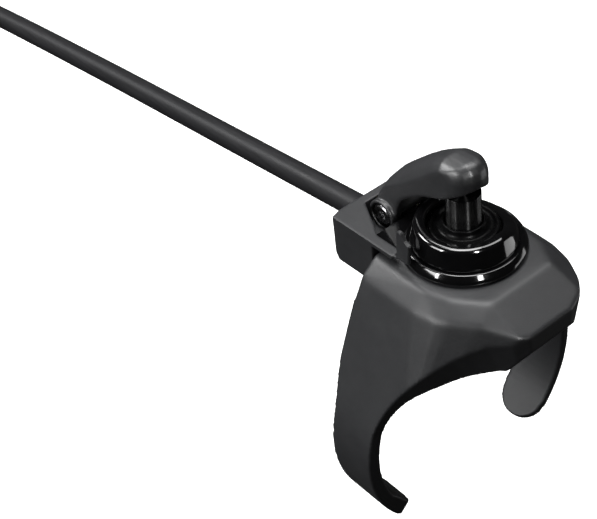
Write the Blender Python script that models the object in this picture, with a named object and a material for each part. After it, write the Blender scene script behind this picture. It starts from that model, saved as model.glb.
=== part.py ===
"""Thumb shifter: a remote switch that clips over a 31.8 mm handlebar.

Frame: origin on the handlebar's axis, straight below the push switch.
+X runs along the bar, away from the cable. +Z points up, to the thumb lever.
-Y is the side of the long, thick clip tongue. Sizes below are in millimetres.
"""
import math

import bmesh
import bpy
from mathutils import Matrix, Vector

MM = 0.001
GAP = 0.3             # clearance between the larger pieces that touch
FIT = 0.15            # clearance inside the small mechanism

# Handlebar clip
BAR_R = 15.9          # half of a 31.8 mm bar
LONG_WALL = 1.8
SHORT_WALL = 1.2
CLIP_TOP = 24.0       # height of the flat seat above the bar's axis
CHAMFER_Z = 22.1      # lower edge of the 45 degree chamfer
NEAR_CHAMFER_Y = 10.4
FAR_CHAMFER_Y = 8.9
REAR_X = -6.7         # cable end of the clip
LIP_X = 13.6          # far end of the clip
LIP_TOP = 21.0
LIP_BOTTOM = 18.6
TONGUE_NEAR_X = 0.9
TONGUE_FAR_X = -5.8
LONG_END = 224.0      # angle of the long tongue's tip about the bar, degrees
SHORT_END = -52.7
TIP_GRIP_R = 15.55    # the long tongue's tip grips a little under the bar's radius
TIP_GRIP_START = 206.0
NEAR_EDGE = ((11.6, 13.6), (20.0, 10.5), (30.0, 7.7), (40.0, 5.5), (50.0, 3.3), (60.0, 1.8), (72.0, 0.9))
POCKET_R = 6.0
POCKET_FLOOR = 18.2
BASE_SCREW_X = (-3.4, 3.4)

# Switch block
BLOCK_END_X = -14.3
BLOCK_Y = 8.05
BLOCK_TOP = 25.5
BLOCK_BOTTOM = 19.2
BLOCK_WALL = 0.9
STEP_X = REAR_X - GAP
BORE_END_X = -13.3    # blind end of the cable's bore
RAIL_Y = 6.65         # inner side of the rail that runs beside the switch, and of the room
RAIL_BOTTOM = 24.85
RAIL_END_X = -3.5
ROOM_X = -8.7         # where the room for the switch starts
ROOM_FLOOR = 24.0
SCOOP_FLOOR = 23.2    # beside the lever's hub, above the cover screw's boss
COVER_TOP = 20.0
CAVITY_TOP = 21.7
COVER_SCREW_Y = (-5.8, 5.8)

# Lever
PIVOT_X = -10.65
PIVOT_Z = 24.6
HUB_R = 2.05
HUB_Y = 3.3
LEVER_Y = 2.7
NOSE_X = 0.3          # centre of the rounded nose
NOSE_SLOPE = 0.62     # rise of the nose's underside towards its tip
NOSE_DROOP = 0.3      # how far it hangs lower towards the +Y side
ARM_CROWN = 1.9       # how far the lever's back falls away at its sides
HEAD_CROWN = 1.2
FORK_Y = 1.75
KNUCKLE_R = 1.8
KNUCKLE_Y = 0.8
PIN_R = 0.5
BUSH_R = 1.0

# Push switch, turned about the Z axis
FLANGE_R = 7.35
RIM_R = 6.75
RING_TOP = 28.2
RING_TOP_R = 5.75
RING_BASE_R = 6.3
RING_SLOPE = 0.33     # the ring's top falls away on the far side, from this Y on
RING_SLOPE_Y = 0.6
RING_BORE_R = 4.35
CUP_R = 5.7
CUP_FLOOR = 20.0
TAIL_Y = 4.6
POST_R = 2.08
POST_TOP = 32.2
POST_ROOM_TOP = POST_TOP + GAP
BOARD_TOP = 20.75
WIRE_R = 0.25
WIRE_Z = 21.2
WIRE_Y = (-2.5, -1.5)

# Cable
CABLE_R = 1.6
CABLE_Y = -2.0
CABLE_Z = 22.35
CABLE_ROUTE = (       # along the cable's axis, from inside the block to the plug
    (BORE_END_X - 0.15, CABLE_Y, CABLE_Z),
    (-40.0, -2.0, 19.8),
    (-75.0, -2.1, 16.5),
    (-108.0, -2.9, 13.6),
    (-136.0, -5.2, 11.6),
    (-160.0, -8.4, 10.5),
)
CABLE_POINTS = 22
PLUG_R = 2.9
PLUG_LENGTH = 11.0


def clear_scene():
    for obj in list(bpy.data.objects):
        bpy.data.objects.remove(obj, do_unlink=True)


def material(name, colour, roughness, metallic=0.0):
    mat = bpy.data.materials.get(name)
    if mat is None:
        mat = bpy.data.materials.new(name)
        mat.use_nodes = True
        shader = mat.node_tree.nodes["Principled BSDF"]
        shader.inputs["Base Color"].default_value = (*colour, 1.0)
        shader.inputs["Roughness"].default_value = roughness
        shader.inputs["Metallic"].default_value = metallic
    return mat


def matte_plastic():
    return material("matte_plastic", (0.035, 0.036, 0.038), 0.5)


def gloss_plastic():
    return material("gloss_plastic", (0.008, 0.008, 0.009), 0.12)


def rubber():
    return material("rubber", (0.03, 0.03, 0.032), 0.6)


def steel():
    return material("steel", (0.55, 0.55, 0.57), 0.3, 1.0)


def dark_steel():
    return material("dark_steel", (0.05, 0.05, 0.055), 0.35, 1.0)


def brass():
    return material("brass", (0.75, 0.55, 0.25), 0.3, 1.0)


def board_green():
    return material("board_green", (0.02, 0.12, 0.05), 0.4)


def add_object(name, bm, mat, origin=(0.0, 0.0, 0.0)):
    """Link a bmesh as an object with its origin at a point; no material makes it a tool."""
    bmesh.ops.recalc_face_normals(bm, faces=bm.faces)
    bmesh.ops.translate(bm, verts=bm.verts, vec=[-c for c in origin])
    mesh = bpy.data.meshes.new(name)
    bm.to_mesh(mesh)
    bm.free()
    mesh.shade_smooth()
    mesh.set_sharp_from_angle(angle=math.radians(35))
    obj = bpy.data.objects.new(name, mesh)
    obj.location = origin
    if mat is None:
        obj.hide_render = True
        obj.display_type = "WIRE"
    else:
        mesh.materials.append(mat)
    bpy.context.scene.collection.objects.link(obj)
    return obj


def apply_modifiers(obj):
    """Turn the evaluated shape into the object's own mesh, with slivers and pinholes closed."""
    bpy.context.view_layer.update()
    depsgraph = bpy.context.evaluated_depsgraph_get()
    mesh = bpy.data.meshes.new_from_object(obj.evaluated_get(depsgraph))
    bm = bmesh.new()
    bm.from_mesh(mesh)
    bmesh.ops.remove_doubles(bm, verts=bm.verts, dist=0.0005)
    bmesh.ops.dissolve_degenerate(bm, edges=bm.edges, dist=0.0005)
    bmesh.ops.holes_fill(bm, edges=[e for e in bm.edges if e.is_boundary], sides=6)
    bm.to_mesh(mesh)
    bm.free()
    obj.modifiers.clear()
    obj.data = mesh


def combine(obj, tool, operation):
    """Boolean the tool into the object and remove the tool."""
    mod = obj.modifiers.new(operation.lower(), "BOOLEAN")
    mod.operation = operation
    mod.solver = "EXACT"
    mod.object = tool
    apply_modifiers(obj)
    bpy.data.objects.remove(tool, do_unlink=True)


def cut(obj, *tools):
    for tool in tools:
        combine(obj, tool, "DIFFERENCE")


def join(obj, *tools):
    for tool in tools:
        combine(obj, tool, "UNION")


def box(name, low, high, mat=None):
    bm = bmesh.new()
    bmesh.ops.create_cube(bm, size=1.0)
    size = [b - a for a, b in zip(low, high)]
    centre = [(a + b) / 2 for a, b in zip(low, high)]
    bmesh.ops.scale(bm, verts=bm.verts, vec=size)
    bmesh.ops.translate(bm, verts=bm.verts, vec=centre)
    return add_object(name, bm, mat)


def hull(name, points, mat=None):
    bm = bmesh.new()
    for point in points:
        bm.verts.new(point)
    bmesh.ops.convex_hull(bm, input=bm.verts)
    loose = [v for v in bm.verts if not v.link_faces]
    bmesh.ops.delete(bm, geom=loose, context="VERTS")
    bmesh.ops.dissolve_limit(bm, angle_limit=0.002, verts=bm.verts, edges=bm.edges)
    return add_object(name, bm, mat)


def turned(name, profile, mat=None, segments=48, axis="Z", centre=(0.0, 0.0, 0.0), origin=None):
    """Turn a closed (radius, height) profile about an axis through a centre."""
    bm = bmesh.new()
    rings = []
    for radius, height in profile:
        if radius < 1e-6:
            rings.append([bm.verts.new((0.0, 0.0, height))])
            continue
        ring = []
        for i in range(segments):
            a = 2 * math.pi * i / segments
            ring.append(bm.verts.new((radius * math.cos(a), radius * math.sin(a), height)))
        rings.append(ring)
    for ring, after in zip(rings, rings[1:] + rings[:1]):
        if len(ring) == 1 and len(after) == 1:
            continue
        for i in range(segments):
            j = (i + 1) % segments
            if len(ring) == 1:
                bm.faces.new((ring[0], after[j], after[i]))
            elif len(after) == 1:
                bm.faces.new((ring[i], ring[j], after[0]))
            else:
                bm.faces.new((ring[i], ring[j], after[j], after[i]))
    turn = {"Z": Matrix.Identity(3), "Y": Matrix.Rotation(-math.pi / 2, 3, "X"),
            "X": Matrix.Rotation(math.pi / 2, 3, "Y")}[axis]
    bmesh.ops.rotate(bm, verts=bm.verts, matrix=turn)
    bmesh.ops.translate(bm, verts=bm.verts, vec=centre)
    return add_object(name, bm, mat, origin or (0.0, 0.0, 0.0))


def rod(name, radius, start, end, mat=None, segments=32, axis="Z", centre=(0.0, 0.0, 0.0), origin=None):
    """A cylinder from start to end along an axis through a centre."""
    profile = ((0.0, start), (radius, start), (radius, end), (0.0, end))
    return turned(name, profile, mat, segments, axis, centre, origin)


def tube_curve(name, points, radius, mat, resolution=2, origin=(0.0, 0.0, 0.0)):
    """A closed tube along points, as a poly curve with filled caps."""
    curve = bpy.data.curves.new(name, "CURVE")
    curve.dimensions = "3D"
    curve.bevel_depth = radius
    curve.bevel_resolution = resolution
    curve.use_fill_caps = True
    curve.render_resolution_u = 0
    spline = curve.splines.new("POLY")
    spline.points.add(len(points) - 1)
    for point, place in zip(spline.points, points):
        point.co = (*[c - o for c, o in zip(place, origin)], 1.0)
    curve.materials.append(mat)
    obj = bpy.data.objects.new(name, curve)
    obj.location = origin
    bpy.context.scene.collection.objects.link(obj)
    return obj


def smooth_path(route, count):
    """Points spaced evenly by parameter on a Catmull-Rom curve through a route."""
    knots = [Vector(p) for p in route]
    knots = [2 * knots[0] - knots[1]] + knots + [2 * knots[-1] - knots[-2]]
    spans = len(route) - 1
    path = []
    for i in range(count):
        t = spans * i / (count - 1)
        k = min(int(t), spans - 1)
        t -= k
        a, b, c, d = knots[k:k + 4]
        path.append(0.5 * (2 * b + (c - a) * t + (2 * a - 5 * b + 4 * c - d) * t ** 2
                           + (3 * b - a - 3 * c + d) * t ** 3))
    return path


def smooth_step(t):
    t = min(max(t, 0.0), 1.0)
    return t * t * (3 - 2 * t)


# --- handlebar clip ---------------------------------------------------------

def near_limit(angle):
    """Largest X of the clip at an angle about the bar: smooth through the edge's own points."""
    off = abs(angle - 90.0)
    offsets = [knot[0] for knot in NEAR_EDGE]
    if off <= offsets[0] or off >= offsets[-1]:
        return LIP_X if off <= offsets[0] else TONGUE_NEAR_X
    k = max(i for i, knot in enumerate(offsets) if knot <= off)
    t = (off - offsets[k]) / (offsets[k + 1] - offsets[k])
    before, a, b, after = (NEAR_EDGE[min(max(i, 0), len(NEAR_EDGE) - 1)][1] for i in range(k - 1, k + 3))
    return 0.5 * (2 * a + (b - before) * t + (2 * before - 5 * a + 4 * b - after) * t ** 2
                  + (3 * a - before - 3 * b + after) * t ** 3)


def far_limit(angle):
    """Smallest X of the clip: the shoulders bulge a little, the tongues run straight."""
    off = abs(angle - 90.0)
    shoulder = REAR_X - 0.25 * math.sin(math.pi * min(max((off - 25.0) / 45.0, 0.0), 1.0))
    narrow = smooth_step((off - 45.0) / 35.0)
    return shoulder + (TONGUE_FAR_X - REAR_X) * narrow


def trim_tool(name, limit, outside_x):
    """A solid that fills everything past the clip's edge, all round the bar."""
    radii = (9.0, 14.8, BAR_R + 0.7, 18.0, 20.0, 24.0, 34.0)
    bm = bmesh.new()
    rings = []
    steps = 66
    for i in range(steps + 1):
        angle = SHORT_END - 20 + (LONG_END + 40 - SHORT_END) * i / steps
        c, s = math.cos(math.radians(angle)), math.sin(math.radians(angle))
        x = limit(angle)
        places = [(x, r) for r in radii] + [(outside_x, radii[-1]), (outside_x, radii[0])]
        rings.append([bm.verts.new((px, r * c, r * s)) for px, r in places])
    for ring, after in zip(rings, rings[1:]):
        for i in range(len(ring)):
            j = (i + 1) % len(ring)
            bm.faces.new((ring[i], ring[j], after[j], after[i]))
    bm.faces.new(rings[0])
    bm.faces.new(rings[-1])
    return add_object(name, bm, None)


def clip_head():
    """The clip's faceted saddle, before the bar is cut out of it: both sides, then the walls."""
    near = (
        (REAR_X, -8.1, CLIP_TOP), (2.2, -8.5, CLIP_TOP), (5.2, -7.5, CLIP_TOP), (8.8, -4.9, CLIP_TOP),
        (REAR_X - 0.8, -NEAR_CHAMFER_Y, CHAMFER_Z), (2.2, -NEAR_CHAMFER_Y, CHAMFER_Z),
        (5.2, -9.9, CHAMFER_Z + 0.1), (6.6, -9.2, CHAMFER_Z + 0.2), (9.6, -7.2, CHAMFER_Z + 0.2),
        (11.2, -6.0, 21.4), (LIP_X, -4.3, LIP_TOP), (LIP_X, -4.3, LIP_BOTTOM), (12.0, -5.7, 18.4),
        (10.4, -6.9, 16.0), (7.9, -9.6, 14.0), (7.0, -11.6, 13.0),
    )
    far = (
        (REAR_X, 7.1, CLIP_TOP), (2.2, 7.3, CLIP_TOP), (5.4, 6.8, CLIP_TOP), (8.8, 4.9, CLIP_TOP),
        (REAR_X - 0.8, FAR_CHAMFER_Y, CHAMFER_Z), (5.6, FAR_CHAMFER_Y, CHAMFER_Z),
        (8.5, 8.1, CHAMFER_Z + 0.1), (11.2, 6.9, 21.6), (LIP_X, 5.7, LIP_TOP), (LIP_X, 5.6, LIP_BOTTOM),
        (12.0, 6.4, 18.3), (10.4, 6.9, 16.0), (7.9, 8.8, 14.0), (7.0, 10.9, 13.0),
    )
    points = list(near + far)
    for radius, side, foot in ((BAR_R + LONG_WALL, -1, NEAR_CHAMFER_Y), (BAR_R + SHORT_WALL, 1, FAR_CHAMFER_Y)):
        reach = math.hypot(foot, CHAMFER_Z)
        angle = math.atan2(CHAMFER_Z, foot) - math.acos(radius / reach)
        y, z = radius * math.cos(angle), radius * math.sin(angle)
        points += [(REAR_X - 1.2, side * y, z), (5.5, side * y, z), (REAR_X - 1.2, side * y, 0.0)]
    return hull("bar_clip", points, matte_plastic())


def tongue(name, wall, start, end):
    """A ring sector round the bar between two angles, with a flat section."""
    bm = bmesh.new()
    rings = []
    steps = 36
    for i in range(steps + 1):
        angle = math.radians(start + (end - start) * i / steps)
        c, s = math.cos(angle), math.sin(angle)
        rings.append([bm.verts.new((x, r * c, r * s)) for x, r in
                      ((-9.0, BAR_R - 1.5), (-9.0, BAR_R + wall), (9.0, BAR_R + wall), (9.0, BAR_R - 1.5))])
    for ring, after in zip(rings, rings[1:]):
        for i in range(4):
            j = (i + 1) % 4
            bm.faces.new((ring[i], ring[j], after[j], after[i]))
    bm.faces.new(rings[0])
    bm.faces.new(rings[-1])
    return add_object(name, bm, None)


def bar_space():
    """The bar, with the long tongue's grip left standing into it."""
    bm = bmesh.new()
    steps = 96
    outline = []
    for i in range(steps):
        angle = 360.0 * i / steps - 90.0
        turn = angle % 360.0
        grip = smooth_step((turn - TIP_GRIP_START) / 6.0) if turn < 250.0 else 0.0
        r = BAR_R - (BAR_R - TIP_GRIP_R) * grip
        outline.append((r * math.cos(math.radians(angle)), r * math.sin(math.radians(angle))))
    ends = []
    for x in (-30.0, 30.0):
        ends.append([bm.verts.new((x, y, z)) for y, z in outline])
    for i in range(steps):
        j = (i + 1) % steps
        bm.faces.new((ends[0][i], ends[0][j], ends[1][j], ends[1][i]))
    bm.faces.new(ends[0])
    bm.faces.new(ends[1])
    return add_object("bar_space", bm, None)


def tip_tool(name, end, side, radius):
    """Everything beyond a tongue's rounded tip; side is +1 where the angle grows to the tip."""
    middle = (TONGUE_NEAR_X + TONGUE_FAR_X) / 2
    half = (TONGUE_NEAR_X - TONGUE_FAR_X) / 2
    bm = bmesh.new()
    rings = []
    steps = 24
    for i in range(steps + 1):
        across = -1 + 2 * i / steps
        x = middle + (half + 0.02) * across
        inset = max(abs(across) * half - (half - radius), 0.0)
        back = radius - math.sqrt(max(radius ** 2 - inset ** 2, 0.0))
        ring = []
        for extra in (-math.degrees(back / BAR_R), 24.0):
            angle = math.radians(end + side * extra)
            for r in (11.0, 22.0):
                ring.append(bm.verts.new((x, r * math.cos(angle), r * math.sin(angle))))
        rings.append([ring[0], ring[1], ring[3], ring[2]])
    for ring, after in zip(rings, rings[1:]):
        for i in range(4):
            j = (i + 1) % 4
            bm.faces.new((ring[i], ring[j], after[j], after[i]))
    bm.faces.new(rings[0])
    bm.faces.new(rings[-1])
    return add_object(name, bm, None)


def make_bar_clip():
    clip = clip_head()
    join(clip, tongue("long_tongue", LONG_WALL, 150.0, LONG_END + 4))
    join(clip, tongue("short_tongue", SHORT_WALL, 30.0, SHORT_END - 4))
    cut(clip, bar_space())
    cut(clip, trim_tool("near_trim", near_limit, 24.0))
    cut(clip, trim_tool("far_trim", far_limit, -24.0))
    cut(clip, tip_tool("long_tip", LONG_END, 1, 1.5), tip_tool("short_tip", SHORT_END, -1, 3.38))
    cut(clip, rod("pocket", POCKET_R, POCKET_FLOOR, CLIP_TOP + 5, segments=48))
    cut(clip, box("wire_notch", (-9.0, CABLE_Y - 1.0, WIRE_Z - 0.35), (-5.0, CABLE_Y + 1.0, 26.0)))
    stepped_bore = ((0.0, 10.0), (1.35, 10.0), (1.35, 17.2), (0.75, 17.2), (0.75, 20.0), (0.0, 20.0))
    for x in BASE_SCREW_X:
        cut(clip, turned("screw_bore", stepped_bore, None, 20, centre=(x, 0.0, 0.0)))
    return clip


def make_base_screws():
    """Two screws that hold the push switch, driven from the bar side."""
    profile = ((0.0, 16.75), (0.45, 16.75), (0.45, 16.3), (1.1, 16.3), (1.2, 16.4), (1.2, 17.05), (0.6, 17.05),
               (0.6, 19.6), (0.0, 19.6))
    for i, x in enumerate(BASE_SCREW_X):
        turned(f"base_screw_{i + 1}", profile, steel(), 20, centre=(x, 0.0, 0.0))


# --- switch block -----------------------------------------------------------

def block_solid():
    """The block's outside: a box with a shaped cable end, stepped over the clip."""
    ends = (
        (BLOCK_END_X, BLOCK_Y - 1.5, BLOCK_BOTTOM + 1.2, BLOCK_TOP),
        (BLOCK_END_X + 0.4, BLOCK_Y, BLOCK_BOTTOM + 1.0, BLOCK_TOP),
        (BLOCK_END_X + 0.9, BLOCK_Y, BLOCK_BOTTOM, BLOCK_TOP),
        (STEP_X, BLOCK_Y, BLOCK_BOTTOM, BLOCK_TOP),
    )
    points = [(x, side * y, z) for x, y, low, high in ends for side in (1, -1) for z in (low, high)]
    return hull("switch_block", points, matte_plastic())


def make_switch_block():
    block = block_solid()
    join(block, box("rail", (STEP_X - 1.0, -BLOCK_Y, RAIL_BOTTOM), (RAIL_END_X, -RAIL_Y + 0.5, BLOCK_TOP)))
    corners = ((ROOM_X - 1.0, -5.0), (ROOM_X, -6.0), (ROOM_X + 1.2, -RAIL_Y), (0.0, -RAIL_Y), (0.0, RAIL_Y),
               (ROOM_X, RAIL_Y), (ROOM_X - 1.0, 0.0))
    cut(block, hull("room", [(x, y, z) for x, y in corners for z in (ROOM_FLOOR, 30.0)]))
    cut(block, rod("flange_room", FLANGE_R + GAP, ROOM_FLOOR, 30.0, segments=64))
    cut(block, box("cavity", (BLOCK_END_X + 1.2, -BLOCK_Y + BLOCK_WALL, BLOCK_BOTTOM - 2),
                   (STEP_X - BLOCK_WALL, BLOCK_Y - BLOCK_WALL, CAVITY_TOP)))
    for y in COVER_SCREW_Y:
        boss = rod("boss", 1.3, COVER_TOP + FIT, CAVITY_TOP + 1.0, segments=20, centre=(PIVOT_X, y, 0.0))
        join(block, boss)
        cut(block, rod("boss_bore", 0.65, BLOCK_BOTTOM, 22.9, segments=16, centre=(PIVOT_X, y, 0.0)))
    cut(block, rod("cable_bore", 2.3, BLOCK_END_X - 1, BORE_END_X, axis="X", segments=28,
                   centre=(0.0, CABLE_Y, CABLE_Z)))
    for start, end in ((BORE_END_X - 0.3, BLOCK_END_X + 1.5), (STEP_X - 2.0, STEP_X + 1.0)):
        window = box("wire_window", (start, CABLE_Y - 1.0, WIRE_Z - 0.35), (end, CABLE_Y + 1.0, WIRE_Z + 0.4))
        cut(block, window)
    low_x, low_z = PIVOT_X - HUB_R - GAP, PIVOT_Z - HUB_R - GAP
    cut(block, box("fork_room", (low_x, -HUB_Y - GAP, low_z), (ROOM_X + 1.0, HUB_Y + GAP, 30.0)))
    scoop = ((low_x, -HUB_Y), (low_x, -HUB_Y - GAP), (-11.8, -3.95), (-10.3, -4.95), (ROOM_X, -5.9),
             (ROOM_X + 0.5, -5.9), (ROOM_X + 0.5, -HUB_Y))
    cut(block, hull("hub_scoop", [(x, y, z) for x, y in scoop for z in (SCOOP_FLOOR, 30.0)]))
    knuckle = rod("knuckle", KNUCKLE_R, -KNUCKLE_Y, KNUCKLE_Y, axis="Y", centre=(PIVOT_X, 0.0, PIVOT_Z))
    join(knuckle, box("knuckle_foot", (PIVOT_X - KNUCKLE_R, -KNUCKLE_Y, CAVITY_TOP + 0.2),
                      (PIVOT_X + KNUCKLE_R, KNUCKLE_Y, PIVOT_Z)))
    join(block, knuckle)
    cut(block, rod("bush_bore", BUSH_R + FIT, -3.0, 3.0, axis="Y", segments=24, centre=(PIVOT_X, 0.0, PIVOT_Z)))
    join(block, make_tab())
    return block


def make_tab():
    """The small upright stop beyond the rail's end, leaning in over the flange."""
    front, back = -7.8, -7.45
    tab = box("tab", (RAIL_END_X - 0.8, front, RAIL_BOTTOM + 0.2), (-3.0, back, BLOCK_TOP - 0.1))
    foot = ((-3.15, 25.15), (-2.95, 25.55), (-1.1, 25.7))
    points = [(x, y, z) for x, z in foot for y in (front, back)]
    points += [(-3.1, -7.0, 27.4), (-3.05, -7.45, 27.75), (-1.15, -7.0, 27.4), (-1.1, -7.45, 27.95),
               (-2.75, -7.05, 28.8), (-2.3, -7.1, 29.1), (-1.7, -7.05, 28.95)]
    join(tab, hull("tab_head", points))
    return tab


def make_block_cover():
    """The plate that closes the block from below."""
    low = (BLOCK_END_X + 1.2 + FIT, -BLOCK_Y + BLOCK_WALL + FIT, BLOCK_BOTTOM)
    high = (STEP_X - BLOCK_WALL - FIT, BLOCK_Y - BLOCK_WALL - FIT, COVER_TOP)
    cover = box("block_cover", low, high, matte_plastic())
    stepped = ((0.0, BLOCK_BOTTOM - 1.0), (1.05, BLOCK_BOTTOM - 1.0), (1.05, BLOCK_BOTTOM + 0.5),
               (0.65, BLOCK_BOTTOM + 0.5), (0.65, COVER_TOP + 1.0), (0.0, COVER_TOP + 1.0))
    for y in COVER_SCREW_Y:
        cut(cover, turned("screw_hole", stepped, None, 20, centre=(PIVOT_X, y, 0.0)))
    return cover


def make_cover_screws():
    profile = ((0.0, 19.55), (0.3, 19.55), (0.3, 19.3), (0.85, 19.3), (0.9, 19.35), (0.9, 19.65), (0.5, 19.65),
               (0.5, 22.7), (0.0, 22.7))
    for i, y in enumerate(COVER_SCREW_Y):
        turned(f"cover_screw_{i + 1}", profile, steel(), 16, centre=(PIVOT_X, y, 0.0))


# --- thumb lever ------------------------------------------------------------

def lever_section(y):
    """The lever's outline in X and Z at a distance y from its middle plane."""
    share = abs(y) / LEVER_Y
    nose = NOSE_X + math.sqrt(max(LEVER_Y ** 2 - y ** 2, 0.0))
    nose_low = 32.3 + NOSE_SLOPE * (nose - 0.1) - NOSE_DROOP * max(y, 0.0)
    edge = 0.3 * share ** 6
    under = ((-8.6, 25.1), (-8.4, 26.3), (-7.95, 27.5), (-7.2, 28.3), (-5.9, 29.25), (-4.2, 30.3), (-2.6, 31.0),
             (-0.9, 31.65), (-0.3, 31.95))
    tip = ((nose - 0.2, nose_low - 0.12), (nose, nose_low + 0.15), (nose, 35.2), (nose - 0.2, 36.1),
           (nose - 0.6, 36.7), (nose - 1.2, 37.05))
    back = ((-1.3, 36.95), (-2.6, 36.3), (-4.0, 35.45), (-5.7, 34.2), (-7.5, 32.7), (-9.35, 31.1), (-11.1, 29.05),
            (-12.2, 27.25), (-12.6, 25.6))
    points = [(x, z + edge) for x, z in under]
    for x, z in tip:
        points.append((x, z + edge * (z < 34.0) - HEAD_CROWN * share ** 3 * smooth_step((z - 34.0) / 3.0)))
    for x, z in back:
        fall = (HEAD_CROWN + (ARM_CROWN - HEAD_CROWN) * smooth_step((-0.5 - x) / 5.0)) * share ** 2.7
        turn = smooth_step((-8.0 - x) / 4.0)
        fall *= 1.0 - 0.45 * turn
        points.append((x + fall * (0.2 + 0.4 * turn), z - fall * (1.0 - 0.7 * turn)))
    inside = HUB_R - 0.2
    points += [(PIVOT_X + inside * math.cos(a), PIVOT_Z + inside * math.sin(a))
               for a in (math.radians(d) for d in (190, 220, 250, 280, 310, 340))]
    return points


def lever_body():
    bm = bmesh.new()
    stations = (-1.0, -0.94, -0.82, -0.7, -0.36, 0.0, 0.36, 0.7, 0.82, 0.94, 1.0)
    rings = []
    for share in stations:
        y = share * LEVER_Y
        rings.append([bm.verts.new((x, y, z)) for x, z in lever_section(y)])
    for ring, after in zip(rings, rings[1:]):
        for i in range(len(ring)):
            j = (i + 1) % len(ring)
            bm.faces.new((ring[i], ring[j], after[j], after[i]))
    bm.faces.new(rings[0])
    bm.faces.new(rings[-1])
    return add_object("thumb_lever", bm, matte_plastic(), (PIVOT_X, 0.0, PIVOT_Z))


def make_thumb_lever():
    lever = lever_body()
    centre = (PIVOT_X, 0.0, PIVOT_Z)
    join(lever, rod("hub", HUB_R, -HUB_Y, HUB_Y, axis="Y", centre=centre, segments=36))
    cut(lever, rod("knuckle_room", KNUCKLE_R + 0.35, -FORK_Y, FORK_Y, axis="Y", centre=centre, segments=32))
    cut(lever, rod("pin_bore", PIN_R + FIT, -4.0, 4.0, axis="Y", centre=centre, segments=16))
    cut(lever, rod("head_seat", 1.65, -4.0, 0.6 - HUB_Y, axis="Y", centre=centre, segments=28))
    cut(lever, rod("nut_seat", 1.45, HUB_Y - 0.75, 4.0, axis="Y", centre=centre, segments=28))
    cut(lever, box("post_room", (-3.2, -2.25, 29.0), (1.0, 2.25, POST_ROOM_TOP)))
    return lever


def make_pivot_screw():
    head = -HUB_Y + 0.05
    profile = ((0.0, head + 0.4), (0.65, head + 0.4), (0.75, head), (1.15, head), (1.4, head + 0.2),
               (1.4, head + 0.45), (PIN_R, head + 0.45), (PIN_R, HUB_Y - 0.15), (0.0, HUB_Y - 0.15))
    return turned("pivot_screw", profile, dark_steel(), 24, "Y", (PIVOT_X, 0.0, PIVOT_Z))


def make_pivot_nut():
    bore = PIN_R + FIT
    inner, outer = HUB_Y - 0.6, HUB_Y - 0.05
    profile = ((bore, inner), (1.3, inner), (1.3, outer - 0.15), (1.1, outer), (bore, outer))
    return turned("pivot_nut", profile, dark_steel(), 24, "Y", (PIVOT_X, 0.0, PIVOT_Z))


def make_pivot_bush():
    profile = ((PIN_R + FIT, -KNUCKLE_Y), (BUSH_R, -KNUCKLE_Y), (BUSH_R, KNUCKLE_Y), (PIN_R + FIT, KNUCKLE_Y))
    return turned("pivot_bush", profile, brass(), 20, "Y", (PIVOT_X, 0.0, PIVOT_Z))


def make_lever_spring():
    """A torsion spring of two and a half turns beside the knuckle."""
    points = []
    turns = 2.5
    steps = 32
    for i in range(steps + 1):
        a = 2 * math.pi * turns * i / steps
        points.append((PIVOT_X + 1.35 * math.cos(a), 1.05 + 0.5 * i / steps, PIVOT_Z + 1.35 * math.sin(a)))
    return tube_curve("lever_spring", points, 0.09, steel(), 1)


# --- push switch ------------------------------------------------------------

def make_switch_base():
    """The glossy flange, its tail below the lever, and the sealed cup below it."""
    low = CLIP_TOP + GAP
    foot = POCKET_FLOOR + GAP
    profile = ((0.0, foot), (CUP_R - 0.3, foot), (CUP_R, foot + 0.3), (CUP_R, low), (FLANGE_R, low),
               (FLANGE_R - 0.12, 24.75), (RIM_R + 0.1, 25.35), (RIM_R, 25.5), (RIM_R - 0.35, 25.4), (5.0, 25.35),
               (5.0, CUP_FLOOR), (0.0, CUP_FLOOR))
    base = turned("switch_base", profile, gloss_plastic(), 48)
    tail = box("tail", (ROOM_X + 0.6, GAP - RAIL_Y, low), (0.0, TAIL_Y, 25.0))
    cut(tail, rod("cup_room", 6.1, 20.0, 30.0, segments=40))
    join(base, tail)
    cut(base, box("wire_slot", (-6.5, CABLE_Y - 1.0, WIRE_Z - 0.35), (-4.0, CABLE_Y + 1.0, 22.2)))
    for x in BASE_SCREW_X:
        cut(base, rod("screw_hole", 0.75, 17.0, 19.8, segments=16, centre=(x, 0.0, 0.0)))
    return base


def make_retaining_ring():
    edge = 0.35
    profile = [(4.35, 24.3), (4.85, 24.3), (4.85, 25.5), (RING_BASE_R, 25.5), (RING_BASE_R, 25.75),
               (RING_TOP_R + 0.12, 27.3), (RING_TOP_R, RING_TOP - edge)]
    profile += [(RING_TOP_R - edge * (1 - math.cos(a)), RING_TOP - edge * (1 - math.sin(a)))
                for a in (math.radians(d) for d in (45, 90))]
    profile += [(RING_BORE_R + 0.45, RING_TOP), (RING_BORE_R, RING_TOP - 0.45), (RING_BORE_R, 26.7), (4.1, 26.7),
                (4.1, 26.0), (4.35, 25.7)]
    ring = turned("retaining_ring", profile, gloss_plastic(), 48)
    low = RING_TOP - RING_SLOPE * (10.0 - RING_SLOPE_Y)
    slope = hull("slope", [(x, y, z) for x in (-10.0, 10.0) for y, z in
                           ((RING_SLOPE_Y, RING_TOP), (10.0, low), (10.0, RING_TOP + 5), (RING_SLOPE_Y, RING_TOP + 5))])
    cut(ring, slope)
    return ring


def make_seal_ring():
    """Round-section seal between the cup and the retaining ring's lower end."""
    profile = [(4.6 + 0.2 * math.cos(a), 23.95 + 0.2 * math.sin(a)) for a in (math.pi * i / 3 for i in range(6))]
    return turned("seal_ring", profile, rubber(), 32)


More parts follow.
